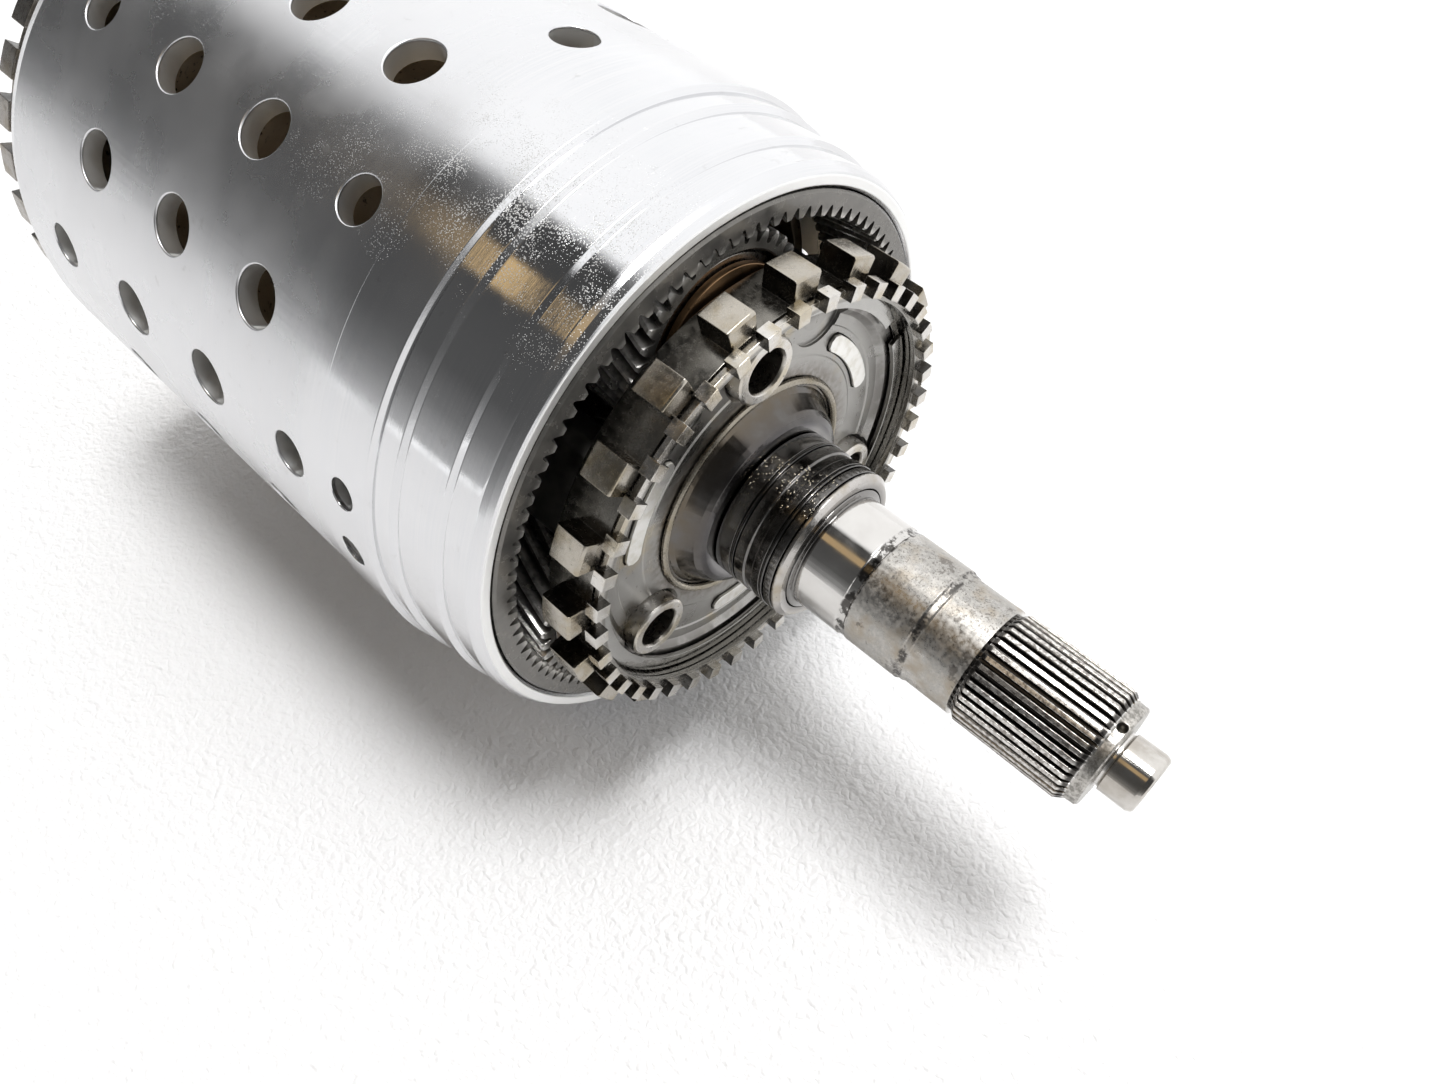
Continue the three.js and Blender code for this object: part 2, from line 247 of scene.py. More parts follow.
def gear_columns(teeth, tooth, first, back, front, home, twist, steps=6, chamfer=0.5):
    """Columns of a helical gear: along the teeth from back to front, then home through x, radius pairs."""
    pitch = TAU / teeth
    tip = tooth[len(tooth) // 2][1]
    outward = tip > tooth[0][1]
    stations = [back, back + chamfer]
    stations += [back + chamfer + (front - back - 2 * chamfer) * k / steps for k in range(1, steps)]
    stations += [front - chamfer, front]
    columns = []
    for k in range(teeth):
        for share, radius in tooth:
            angle = first + (k + share) * pitch
            column = []
            for x in stations:
                limit = tip + (chamfer if not outward else -chamfer) * (x in (back, front))
                reach = min(radius, limit) if outward else max(radius, limit)
                column.append((x, reach, angle + twist * (x - front)))
            column += [(x, radius, angle + twist * (x - front)) for x, radius in home]
            columns.append(column)
    return columns


def square_columns(teeth, first, width, side_steps, low, high):
    """Columns of a wheel with square teeth: low and high are the sections in a space and in a tooth."""
    pitch = TAU / teeth
    columns = []
    for k in range(teeth):
        middle = first + k * pitch
        for step in range(side_steps + 1):
            angle = middle + width * (step / side_steps - 0.5)
            columns.append([(x, r, angle) for x, r in high])
            if step == 0:
                columns.insert(-1, [(x, r, angle) for x, r in low])
        columns.append([(x, r, middle + width / 2) for x, r in low])
        for step in range(1, side_steps):
            angle = middle + width / 2 + (pitch - width) * step / side_steps
            columns.append([(x, r, angle) for x, r in low])
    return columns


def sector_block(name, inner, outer, start, end, back, front, corner, cuts=10):
    """A block that fills a part of an annulus, with rounded ends in plan."""
    outline = []
    reach = math.degrees(corner / ((inner + outer) / 2))
    for side, edge in ((1, outer), (-1, inner)):
        low, high = (start, end) if side > 0 else (end, start)
        step = reach if side > 0 else -reach
        for k in range(cuts + 1):
            outline.append((edge, low + step + (high - low - 2 * step) * k / cuts))
        for k in range(1, 4):
            turn = math.pi * k / 4
            middle = (inner + outer) / 2
            swing = side * (outer - inner) / 2 * math.cos(turn)
            outline.append((middle + swing, high - step + step * math.sin(turn)))
    columns = [
        [(back, r, math.radians(a)), (front, r, math.radians(a))] for r, a in outline
    ]
    grid = place(columns)
    count = len(columns)
    faces = [(2 * i, 2 * ((i + 1) % count), 2 * ((i + 1) % count) + 1, 2 * i + 1) for i in range(count)]
    faces += [tuple(range(0, 2 * count, 2)), tuple(range(1, 2 * count, 2))]
    return new_object(name, grid.reshape(-1, 3), faces)


def wall_drill(x, degrees, radius, surface, sides=36, lip=0.45, depth=8):
    """A drill for a hole through the drum's wall. It flares at the surface, so the hole's edge is rounded."""
    path = [(radius, None), (radius, -lip)]
    path += [(radius + lip * (1 - math.cos(t)), -lip * (1 - math.sin(t))) for t in (0.5, 0.95, 1.3)]
    path.append((radius + 1.6 * lip, 0.35 * lip))
    path.append((radius + 1.6 * lip, 3.0))
    turn = math.radians(degrees)
    outward, around = (math.cos(turn), math.sin(turn)), (-math.sin(turn), math.cos(turn))
    vertices = []
    for reach, height in path:
        for k in range(sides):
            along, across = reach * math.cos(TAU * k / sides), reach * math.sin(TAU * k / sides)
            out = surface - depth if height is None else math.sqrt((surface + height) ** 2 - across**2)
            y = out * outward[0] + across * around[0]
            z = out * outward[1] + across * around[1]
            vertices.append((FRONT_X + (x + along) * MM, y * MM, AXIS_Z + z * MM))
    faces = []
    for i in range(len(path) - 1):
        for k in range(sides):
            nxt = (k + 1) % sides
            faces.append((i * sides + k, i * sides + nxt, (i + 1) * sides + nxt, (i + 1) * sides + k))
    faces += [tuple(range(sides)), tuple(range((len(path) - 1) * sides, len(path) * sides))]
    return new_object("drill", vertices, faces)


# ---- materials ----
class Paint:
    """A material built node by node. Its coordinates are the object's own, in millimetres about an axis."""

    def __init__(self, name, metallic=1.0, centre=(0, 0), **constants):
        self.material = bpy.data.materials.new(name)
        self.material.use_nodes = True
        self.tree = self.material.node_tree
        self.shader = next(n for n in self.tree.nodes if n.type == "BSDF_PRINCIPLED")
        self.shader.inputs["Metallic"].default_value = metallic
        for key, value in constants.items():
            self.shader.inputs[key.replace("_", " ").title()].default_value = value
        position = self.node("ShaderNodeTexCoord").outputs["Object"]
        split = self.node("ShaderNodeSeparateXYZ", Vector=position)
        self.x = self.math("MULTIPLY", self.math("SUBTRACT", split.outputs[0], FRONT_X), 1000)
        y = self.math("SUBTRACT", self.math("MULTIPLY", split.outputs[1], 1000), centre[0])
        z = self.math("MULTIPLY", self.math("SUBTRACT", split.outputs[2], AXIS_Z), 1000)
        z = self.math("SUBTRACT", z, centre[1])
        squares = self.math("ADD", self.math("MULTIPLY", y, y), self.math("MULTIPLY", z, z))
        self.radius = self.math("SQRT", squares)
        self.angle = self.math("ARCTAN2", z, y)
        self.place = self.vector(self.x, y, z)
        self.normal = self.node("ShaderNodeTexCoord").outputs["Normal"]

    def node(self, kind, **inputs):
        made = self.tree.nodes.new(kind)
        for key, value in inputs.items():
            self.feed(made.inputs[key.replace("_", " ")], value)
        return made

    def feed(self, socket, value):
        if isinstance(value, bpy.types.NodeSocket):
            self.tree.links.new(value, socket)
        else:
            socket.default_value = value

    def math(self, operation, *values, clamp=False):
        made = self.tree.nodes.new("ShaderNodeMath")
        made.operation = operation
        made.use_clamp = clamp
        for socket, value in zip(made.inputs, values):
            self.feed(socket, value)
        return made.outputs[0]

    def vector(self, x, y, z):
        return self.node("ShaderNodeCombineXYZ", X=x, Y=y, Z=z).outputs[0]

    def noise(self, size, detail=3.0, roughness=0.55):
        """Noise with blobs of about size millimetres."""
        made = self.node(
            "ShaderNodeTexNoise", Vector=self.place, Scale=1 / size, Detail=detail, Roughness=roughness
        )
        return made.outputs[0]

    def sideways(self):
        """1 on faces that look round the axis, as the sides of teeth do, and 0 elsewhere."""
        split = self.node("ShaderNodeSeparateXYZ", Vector=self.normal)
        back = self.math("MULTIPLY", split.outputs[1], self.math("SINE", self.angle))
        on = self.math("MULTIPLY", split.outputs[2], self.math("COSINE", self.angle))
        return self.step(self.math("ABSOLUTE", self.math("SUBTRACT", on, back)), 0.45, 0.8)

    def turning(self, pitch, wobble=6.0):
        """Fine lines round the axis, as a lathe tool leaves them."""
        sway = self.math("MULTIPLY", self.math("SINE", self.angle), wobble)
        where = self.vector(self.x, self.math("MULTIPLY", sway, 0.05), self.radius)
        made = self.node("ShaderNodeTexNoise", Vector=where, Scale=1 / pitch, Detail=3.0, Roughness=0.7)
        return made.outputs[0]

    def cells(self, size, randomness=1.0):
        made = self.node("ShaderNodeTexVoronoi", Vector=self.place, Scale=1 / size, Randomness=randomness)
        return made.outputs["Distance"]

    def step(self, value, start, end, low=0.0, high=1.0):
        made = self.node("ShaderNodeMapRange")
        made.interpolation_type = "SMOOTHSTEP"
        for socket, given in zip(made.inputs, (value, start, end, low, high)):
            self.feed(socket, given)
        return made.outputs[0]

    def band(self, value, start, end, soft):
        """1 between start and end, 0 outside them."""
        rise = self.step(value, start - soft, start + soft)
        return self.math("MULTIPLY", rise, self.step(value, end - soft, end + soft, 1, 0))

    def mix(self, share, low, high):
        made = self.tree.nodes.new("ShaderNodeMix")
        made.data_type = "RGBA"
        for socket, given in ((made.inputs[0], share), (made.inputs[6], low), (made.inputs[7], high)):
            self.feed(socket, (*given, 1.0) if isinstance(given, tuple) and len(given) == 3 else given)
        return made.outputs[2]

    def blend(self, share, low, high):
        made = self.tree.nodes.new("ShaderNodeMix")
        for socket, given in ((made.inputs[0], share), (made.inputs[2], low), (made.inputs[3], high)):
            self.feed(socket, given)
        return made.outputs[0]

    def all_of(self, *values):
        made = values[0]
        for value in values[1:]:
            made = self.math("MULTIPLY", made, value)
        return made

    def finish(self, color, roughness, *bumps):
        """Links the colour and roughness, and bumps given as height output and depth in millimetres."""
        self.feed(self.shader.inputs["Base Color"], color)
        self.feed(self.shader.inputs["Roughness"], roughness)
        normal = None
        for height, depth in bumps:
            bump = self.node("ShaderNodeBump", Height=height, Distance=depth * MM)
            if normal is not None:
                self.tree.links.new(normal, bump.inputs["Normal"])
            normal = bump.outputs[0]
        if normal is not None:
            self.tree.links.new(normal, self.shader.inputs["Normal"])
        return self.material

    def brush(self):
        """Highlights spread along the shaft, as they do from lines turned round it."""
        tangent = self.tree.nodes.new("ShaderNodeTangent")
        tangent.direction_type = "RADIAL"
        tangent.axis = "X"
        self.tree.links.new(tangent.outputs[0], self.shader.inputs["Tangent"])
        self.shader.inputs["Anisotropic"].default_value = 0.55


def drum_paint():
    """Satin turned steel with polished bands, a mist of fine specks near the front, dull patches, and hole
    walls painted near-white as a painted reflection.
    """
    p = Paint("drum_satin_steel")
    lines = p.turning(0.35)
    patches = p.noise(26, detail=4)
    scuffs = p.noise(5, detail=5, roughness=0.65)
    forward = p.step(p.x, -110, -30, 0.25, 1.0)
    upper = p.band(p.angle, math.radians(96), math.radians(118), 0.24)
    drift = p.step(p.noise(10, detail=4), 0.36, 0.64)
    zone = p.all_of(drift, forward, p.math("ADD", p.math("MULTIPLY", upper, 0.92), 0.08))
    size = p.math("ADD", 0.1, p.math("MULTIPLY", zone, 0.36))
    speck = p.math("LESS_THAN", p.cells(0.42), size)
    speck = p.math("MULTIPLY", speck, p.step(zone, 0.04, 0.2))
    groove = p.band(p.x, -32.3, -26.2, 0.15)
    channel = p.band(p.x, -24.8, -3.2, 0.25)
    polished = p.math("MAXIMUM", groove, channel)
    front_face = p.step(p.x, -0.35, -0.05)
    # The hole walls, with the rest of the inside behind x -40, are painted near-white: a painted reflection.
    hole_wall_light = p.all_of(p.step(p.radius, 79.7, 80.2, 1, 0), p.step(p.x, -40, -33, 1, 0))
    color = p.mix(patches, (0.60, 0.61, 0.63), (0.76, 0.76, 0.77))
    color = p.mix(p.step(lines, 0.35, 0.7), color, (0.70, 0.70, 0.71))
    color = p.mix(p.all_of(p.step(scuffs, 0.62, 0.74), 0.3), color, (0.42, 0.41, 0.40))
    color = p.mix(p.math("MULTIPLY", speck, 0.7), color, (0.92, 0.92, 0.91))
    color = p.mix(p.math("MAXIMUM", front_face, hole_wall_light), color, (0.90, 0.90, 0.89))
    satin = p.math("ADD", p.step(patches, 0.3, 0.7, 0.21, 0.30), p.math("MULTIPLY", scuffs, 0.06))
    satin = p.math("MULTIPLY", satin, p.step(p.x, -64, -46, 1.0, 0.55))
    rough = p.blend(polished, satin, p.math("MULTIPLY", scuffs, 0.15))
    rough = p.blend(speck, rough, 0.55)
    rough = p.blend(p.math("MAXIMUM", front_face, hole_wall_light), rough, 0.5)
    p.brush()
    turned_depth = p.math("MULTIPLY", lines, p.blend(groove, 0.3, 1.0))
    return p.finish(color, rough, (turned_depth, 0.012), (speck, 0.03), (scuffs, 0.015))


def gear_paint(name, tip, root, worn=(0.66, 0.64, 0.60), centre=(0, 0)):
    """Dark oiled gear steel, lighter on the tooth tips and upper flanks: partly burnished wear, partly a
    painted highlight.
    """
    p = Paint(name, metallic=0.6, centre=centre)
    oil = p.noise(4, detail=4)
    # Lighter towards the tip radius: partly wear, partly a painted highlight on the tips.
    wear_and_highlight = p.step(p.radius, root * 0.8 + tip * 0.2, tip)
    wear_and_highlight = p.math("MULTIPLY", wear_and_highlight, p.step(p.noise(1.6), 0.3, 0.65, 0.35, 1.0))
    color = p.mix(oil, (0.11, 0.105, 0.10), (0.24, 0.23, 0.21))
    color = p.mix(wear_and_highlight, color, worn)
    rough = p.step(oil, 0.3, 0.7, 0.16, 0.3)
    return p.finish(color, rough, (p.noise(0.6), 0.012))


def worn_paint(
    name, bright, dark, edge_low, edge_high, side=(0.03, 0.028, 0.026), centre=(0, 0), rough=(0.2, 0.36)
):
    """Worn steel: bright outside edge_high, darker inside edge_low, and near-black sides of teeth as a
    painted dark reflection.
    """
    p = Paint(name, centre=centre)
    stain = p.noise(7, detail=4)
    grime = p.noise(1.6, detail=4, roughness=0.65)
    out = p.step(p.radius, edge_low, edge_high)
    out = p.math("MULTIPLY", out, p.step(grime, 0.25, 0.5, 0.75, 1.0))
    straw = p.mix(out, dark, tuple(0.8 * c * w for c, w in zip(bright, (1.0, 0.93, 0.78))))
    color = p.mix(p.step(stain, 0.42, 0.68), p.mix(out, dark, bright), straw)
    color = p.mix(p.step(grime, 0.63, 0.74), color, tuple(0.35 * c for c in bright))
    # Faces that look round the axis, the sides of teeth, are darkened to near-black: a painted dark
    # reflection.
    color = p.mix(p.math("MULTIPLY", p.sideways(), p.step(stain, 0.3, 0.7, 0.97, 0.75)), color, side)
    roughness = p.step(grime, 0.3, 0.7, rough[0], rough[1])
    return p.finish(color, roughness, (grime, 0.02), (p.noise(0.45), 0.008))


def plate_paint():
    """Matt grey machined face with turned rings and straw stains, darker in blotches round the hub and
    near-black on every face behind x 6.5.
    """
    p = Paint("plate_machined_steel")
    lines = p.turning(0.5)
    stain = p.noise(9, detail=4)
    grime = p.noise(2.2, detail=4)
    color = p.mix(stain, (0.24, 0.235, 0.225), (0.42, 0.41, 0.39))
    color = p.mix(p.step(p.noise(14), 0.54, 0.74), color, (0.36, 0.31, 0.22))
    inner = p.step(p.radius, 31, 37, 1, 0)
    color = p.mix(p.math("MULTIPLY", inner, p.step(grime, 0.35, 0.65, 0.3, 0.9)), color, (0.15, 0.13, 0.11))
    color = p.mix(p.all_of(p.step(p.radius, 45, 50), p.step(stain, 0.4, 0.6)), color, (0.17, 0.16, 0.15))
    color = p.mix(p.step(grime, 0.66, 0.78), color, (0.09, 0.08, 0.07))
    color = p.mix(p.step(p.x, 6.5, 8.0, 1, 0), color, (0.08, 0.075, 0.07))
    rough = p.math("ADD", p.step(stain, 0.3, 0.7, 0.2, 0.34), p.math("MULTIPLY", lines, 0.1))
    return p.finish(color, rough, (lines, 0.012), (grime, 0.02))


def shaft_paint():
    """One bar of steel: heat-tinted hub, ground seats, etched body, rolled spline, collar and nose."""
    p = Paint("shaft_steel")
    lines = p.turning(0.3)
    pits = p.noise(1.1, detail=5, roughness=0.7)
    blotch = p.noise(7, detail=4)
    hub = p.step(p.x, 16.2, 17.0, 1, 0)
    tint = p.mix(p.step(p.radius, 22, 29), (0.085, 0.082, 0.085), (0.125, 0.105, 0.08))
    tint = p.mix(p.step(blotch, 0.4, 0.7), tint, (0.13, 0.125, 0.12))
    clean = p.mix(blotch, (0.56, 0.54, 0.52), (0.74, 0.73, 0.71))
    etched = p.mix(p.step(pits, 0.35, 0.66), (0.37, 0.36, 0.34), (0.53, 0.51, 0.48))
    etched = p.mix(p.step(blotch, 0.44, 0.68), etched, (0.38, 0.335, 0.275))
    upper = p.band(p.angle, math.radians(55), math.radians(108), 0.2)
    pepper = p.all_of(p.step(p.noise(0.55, detail=4, roughness=0.7), 0.52, 0.6), upper, 0.8)
    etched = p.mix(pepper, etched, (0.13, 0.12, 0.11))
    pooled = p.step(p.noise(6, detail=6, roughness=0.7), 0.57, 0.62)
    etched = p.mix(p.math("MULTIPLY", pooled, 0.75), etched, (0.16, 0.145, 0.13))
    etched_zone = p.band(p.x, 52.8, 82.0, 0.4)
    etched_zone = p.math("MULTIPLY", etched_zone, p.step(p.noise(9, detail=5), 0.3, 0.5, 0.5, 1.0))
    marks = p.math("MAXIMUM", p.band(p.x, 50.3, 53.0, 0.25), p.band(p.x, 67.4, 69.4, 0.3))
    marks = p.math("MULTIPLY", marks, p.step(p.noise(2.8, detail=5, roughness=0.65), 0.45, 0.55, 0.05, 1.0))
    collar = p.band(p.x, 112.4, 115.6, 0.15)
    nose = p.step(p.x, 115.6, 116.6)
    # A dark band where the sleeve's end ring meets the journal: painted shade in the gap.
    end_gap_shade = p.band(p.x, 36.8, 37.9, 0.15)
    spline = p.band(p.x, 82.5, 112.2, 0.2)
    crest = p.step(p.radius, 13.9, 14.4)
    speckled = p.mix(p.step(pits, 0.38, 0.58), (0.27, 0.25, 0.23), (0.72, 0.70, 0.67))
    toothed = p.mix(crest, (0.085, 0.08, 0.075), speckled)
    color = p.mix(etched_zone, clean, etched)
    color = p.mix(marks, color, (0.09, 0.085, 0.08))
    color = p.mix(p.math("MULTIPLY", end_gap_shade, 0.85), color, (0.14, 0.135, 0.13))
    color = p.mix(spline, color, toothed)
    color = p.mix(collar, color, p.mix(p.step(pits, 0.38, 0.6), (0.24, 0.23, 0.21), (0.52, 0.50, 0.47)))
    color = p.mix(nose, color, p.mix(p.step(blotch, 0.35, 0.65), (0.60, 0.58, 0.55), (0.44, 0.41, 0.37)))
    color = p.mix(hub, color, tint)
    rough = p.blend(etched_zone, p.step(blotch, 0.3, 0.7, 0.08, 0.17), p.step(pits, 0.35, 0.65, 0.27, 0.42))
    rough = p.blend(spline, rough, 0.24)
    rough = p.blend(collar, rough, 0.3)
    rough = p.blend(hub, rough, p.step(blotch, 0.3, 0.7, 0.12, 0.22))
    p.brush()
    pitted = p.math("MULTIPLY", pits, p.math("ADD", p.math("MULTIPLY", etched_zone, 0.9), 0.1))
    return p.finish(color, rough, (lines, 0.006), (pitted, 0.025))


def oiled_paint(name, dark, light, centre=(0, 0), speck=0.5):
    """Blackened steel under a film of oil, with wet drops whose pale specks gather near the top as painted
    glints.
    """
    p = Paint(name, centre=centre, coat_weight=0.8, coat_roughness=0.05)
    film = p.noise(3, detail=4)
    # The drops are real oil drops in bump and roughness, but their pale yellow colour, gathered on the top
    # band, is a painted glint.
    top = p.band(p.angle, math.radians(80), math.radians(120), 0.15)
    drops_and_glints = p.step(p.cells(0.9), 0.25, 0.4, 1, 0)
    patches = p.step(p.noise(5), 0.42, 0.6)
    drops_and_glints = p.all_of(drops_and_glints, patches, p.math("ADD", p.math("MULTIPLY", top, 0.8), 0.2), speck)
    color = p.mix(film, dark, light)
    color = p.mix(drops_and_glints, color, (0.50, 0.44, 0.33))
    rough = p.blend(drops_and_glints, p.step(film, 0.3, 0.7, 0.12, 0.26), 0.1)
    return p.finish(color, rough, (drops_and_glints, 0.08), (p.noise(0.8), 0.02))


def bronze_paint(name, light, dark, centre=(0, 0), rough=(0.24, 0.4)):
    """Bronze or oil-browned metal, turned, with darker patches."""
    p = Paint(name, centre=centre)
    patch = p.noise(8, detail=4)
    lines = p.turning(0.4)
    color = p.mix(patch, dark, light)
    color = p.mix(p.step(p.noise(1.5), 0.6, 0.75), color, (0.10, 0.06, 0.03))
    roughness = p.math("ADD", p.step(patch, 0.3, 0.7, *rough), p.math("MULTIPLY", lines, 0.1))
    return p.finish(color, roughness, (lines, 0.015))


# ---- drum ----
def drum_shell():
    rear = -196
    profile = [
        (-26.3, 72.3), (-0.9, 72.3), (0, 73.1), (0, 75.0), (-0.5, 75.8), (-1.8, 76.6), (-3.4, 77.1),
        (-4.2, 77.0), (-11.2, 77.0), (-12.2, 78.3), (-24.9, 78.4), (-26.0, 79.7), (-32.3, 79.7),
        (-33.0, BAND_R), (-50.0, BAND_R), (-50.4, DRUM_R), (-189.5, DRUM_R), (-192.6, 79.9), (-194.9, 78.2),
        (rear, 76.0), (rear, 72.0), (rear + 1.2, 70.5), (rear + 1.2, 47), (rear, 45.5), (rear, 40),
        (-190, 40), (-190, 75.4), (-26.3, 75.4),
    ]
    shell = turned("drum_shell_turned", profile, sides=256, radius=0.4)
    drills = []
    for row in range(HOLE_ROWS):
        angle = HOLE_ROW_ANGLE + 360 / HOLE_ROWS * row
        for k in range(4):
            radius = HOLE_END_R if k in (0, 3) else HOLE_R
            drills.append(wall_drill(HOLE_FRONT - k * HOLE_PITCH, angle, radius, DRUM_R))
        for k in range(3):
            x = HOLE_FRONT - (k + 0.46) * HOLE_PITCH
            drills.append(wall_drill(x, angle + 180 / HOLE_ROWS, HOLE_R, DRUM_R))
    for side in (169.7, 349.7):
        for half in (-6.5, 6.5):
            drills.append(wall_drill(-41.5, side + half, 4, BAND_R, sides=28, lip=0.3))
    combine(shell, drills)
    finished(shell, "drum", "drum_steel", drum_paint(), "drum_shell")


def drum_inside():
    inner = [(-36, 66), (-36, 69.4), (-186, 69.4), (-189.5, 66), (-189.5, 45), (-186.7, 45), (-186.7, 66)]
    brown = bronze_paint("inner_drum_brown_steel", (0.66, 0.56, 0.44), (0.40, 0.32, 0.22), rough=(0.4, 0.55))
    piece = turned("inner_drum_turned", inner, sides=160, radius=0.6)
    finished(piece, "drum", "bronze", brown, "inner_drum")
    rear = [(-206, 24.4), (-206, 33), (-205.2, 34), (-205.2, 37), (-206, 38), (-206, 62), (-205.3, 63),
            (-205.3, 67), (-206, 68), (-206, 72), (-203.2, 75.4)]
    inside = [(-196.4, 39.6), (-186, 39.6), (-186, 24)]
    notch_low = rear + [(-203.2, NOTCH_ROOT), (-196.4, NOTCH_ROOT)] + inside
    notch_high = rear + [(-203.2, NOTCH_R), (-196.4, NOTCH_R)] + inside
    columns = square_columns(NOTCHES, 0, math.radians(NOTCH_DEGREES), 3, notch_low, notch_high)
    hub = soften(skin("rear_hub_notched", columns), 0.3)
    paint = worn_paint("rear_hub_steel", (0.30, 0.28, 0.26), (0.16, 0.15, 0.14), 70, 78)
    finished(hub, "drum", "oiled_steel", paint, "rear_hub")
    bushing = ring("rear_bushing_turned", -205.5, -186.5, 21, 23.7, sides=96, radius=0.4)
    bearing_bronze = bronze_paint("bushing_bronze", (0.72, 0.45, 0.22), (0.45, 0.26, 0.12))
    finished(bushing, "drum", "bronze", bearing_bronze, "rear_bushing")
    retainer = [(-28.3, 69.7), (-26.7, 69.7), (-26.7, 74.9), (-28.3, 74.9)]
    columns = []
    for k in range(97):
        angle = math.radians(-85 + 350 * k / 96)
        columns.append([(x, r, angle) for x, r in retainer])
    clip = soften(skin("ring_gear_snap_ring_sprung", columns, round_trip=False), 0.25)
    black = oiled_paint("snap_ring_black", (0.05, 0.05, 0.05), (0.14, 0.13, 0.12))
    finished(clip, "drum", "oiled_steel", black, "ring_gear_snap_ring")


# ---- gears ----
def ring_first():
    """Angle of the ring gear's first tooth at the front of the planets' hubs, in radians."""
    return LEAD / RING_PITCH_R * GEAR_FRONT


def planet_first(degrees):
    """Angle in radians of a planet's first tooth at its hub's front, in mesh with the ring gear."""
    angle = math.radians(degrees)
    across = (angle - ring_first()) * RING_TEETH / TAU + 0.5
    return angle - TAU / PLANET_TEETH * across


def gears():
    tip, root = RING_PITCH_R - 1.1, RING_PITCH_R + 1.9
    tooth = gear_tooth(RING_TEETH, RING_PITCH_R, root, tip, internal=True)
    home = [(0, 71.4), (-0.6, 72.0), (-25.4, 72.0), (-26, 71.4)]
    columns = gear_columns(RING_TEETH, tooth, 0, -26, 0, home, LEAD / RING_PITCH_R)
    gear = skin("ring_gear_toothed", columns)
    finished(gear, "drum", "gear_steel", gear_paint("ring_gear_steel", tip, root), "ring_gear")
    tip, root = PLANET_PITCH_R + 1.1, PLANET_PITCH_R - 1.85
    tooth = gear_tooth(PLANET_TEETH, PLANET_PITCH_R, root, tip)
    twist = LEAD / PLANET_PITCH_R
    seat = [
        (PLANET_FACE, WASHER_SEAT_R + 0.4), (PLANET_FACE - 0.4, WASHER_SEAT_R), (GEAR_FRONT, WASHER_SEAT_R),
    ]
    bore = [(GEAR_FRONT, 12.5), (GEAR_FRONT - 0.6, 11.9), (GEAR_BACK + 0.6, 11.9), (GEAR_BACK, 12.5)]
    for k, degrees in enumerate(PLANET_ANGLES, 1):
        centre = at_angle(PIN_CIRCLE, degrees)
        first = planet_first(degrees) + twist * (PLANET_FACE - GEAR_FRONT)
        columns = gear_columns(PLANET_TEETH, tooth, first, GEAR_BACK, PLANET_FACE, seat + bore, twist)
        gear = skin(f"planet_gear_{k}_toothed", columns, centre)
        # The planets get a far paler tip colour than the ring gear: painted light that lifts their teeth out
        # of shade.
        paint = gear_paint(f"planet_{k}_steel", tip, root, (0.90, 0.88, 0.85), centre)
        finished(gear, f"planet_{k}", "gear_steel", paint, f"planet_gear_{k}")


def pins_and_washers():
    for k, degrees in enumerate(PLANET_ANGLES, 1):
        centre = at_angle(PIN_CIRCLE, degrees)
        section = [
            (-37.4, 5.6), (12.3, 5.6), (13.0, 6.0), (13.0, 8.0), (12.5, 8.5), (-36.9, 8.5), (-37.4, 8.0),
        ]
        pin = turned(f"planet_pin_{k}_ground", section, sides=72, radius=0.25, centre=centre)
        paint = worn_paint(
            f"pin_{k}_steel", (0.62, 0.60, 0.57), (0.30, 0.28, 0.25), 5.65, 6.0,
            centre=centre, rough=(0.24, 0.4),
        )
        finished(pin, "carrier", "worn_steel", paint, f"planet_pin_{k}")
        washer = ring(
            f"planet_front_washer_{k}_flat", -3.5, -2.1, PIN_HOLE_R, 20.4,
            sides=96, radius=0.3, centre=centre,
        )
        paint = worn_paint(f"washer_{k}_steel", (0.34, 0.32, 0.30), (0.15, 0.14, 0.13), 12, 20, centre=centre)
        finished(washer, "carrier", "plate_steel", paint, f"planet_front_washer_{k}")
        washer = ring(
            f"planet_bronze_washer_{k}_flat", -1.7, 0.1, PIN_HOLE_R, 18.9,
            sides=96, radius=0.35, centre=centre,
        )
        paint = bronze_paint(f"washer_{k}_bronze", (0.34, 0.21, 0.11), (0.15, 0.09, 0.05), centre)
        finished(washer, "carrier", "bronze", paint, f"planet_bronze_washer_{k}")


# ---- carrier ----
def front_plate():
    profile = [
        (0.5, 29.8), (9.4, 29.8), (9.4, 36.4), (9.1, 36.8), (9.1, 44.3), (9.4, 44.7), (9.4, 47.6),
        (10.9, 49.2), (11, 52.6), (0.5, 52.6),
    ]
    plate = turned("carrier_front_plate_milled", profile, sides=180, radius=0.35)
    tools = []
    for degrees in PLANET_ANGLES:
        centre = at_angle(PIN_CIRCLE, degrees)
        mouth = PIN_HOLE_R + 1.3
        bore = [(-1, 0), (-1, PIN_HOLE_R), (8.5, PIN_HOLE_R), (9.9, mouth), (12.5, mouth), (12.5, 0)]
        tools.append(turned("bore", bore, sides=64, radius=0.1, centre=centre, open_ends=True))
        tools.append(sector_block("window", 37.9, 43.1, degrees + 39.6, degrees + 80.4, -1, 12, 2.0))
    pockets = ((47.2, CARRIER_PHASE - 27, 8.4, 8.3), (46.6, CARRIER_PHASE + 27, 6.0, 8.5))
    for reach, degrees, radius, floor in pockets:
        drill = [(floor - 1.6, 0), (floor, radius * 0.55), (floor, radius), (12.5, radius), (12.5, 0)]
        centre = at_angle(reach, degrees)
        tools.append(turned("pocket", drill, sides=48, radius=0.3, centre=centre, open_ends=True))
    combine(plate, tools)
    finished(plate, "carrier", "plate_steel", plate_paint(), "carrier_front_plate")


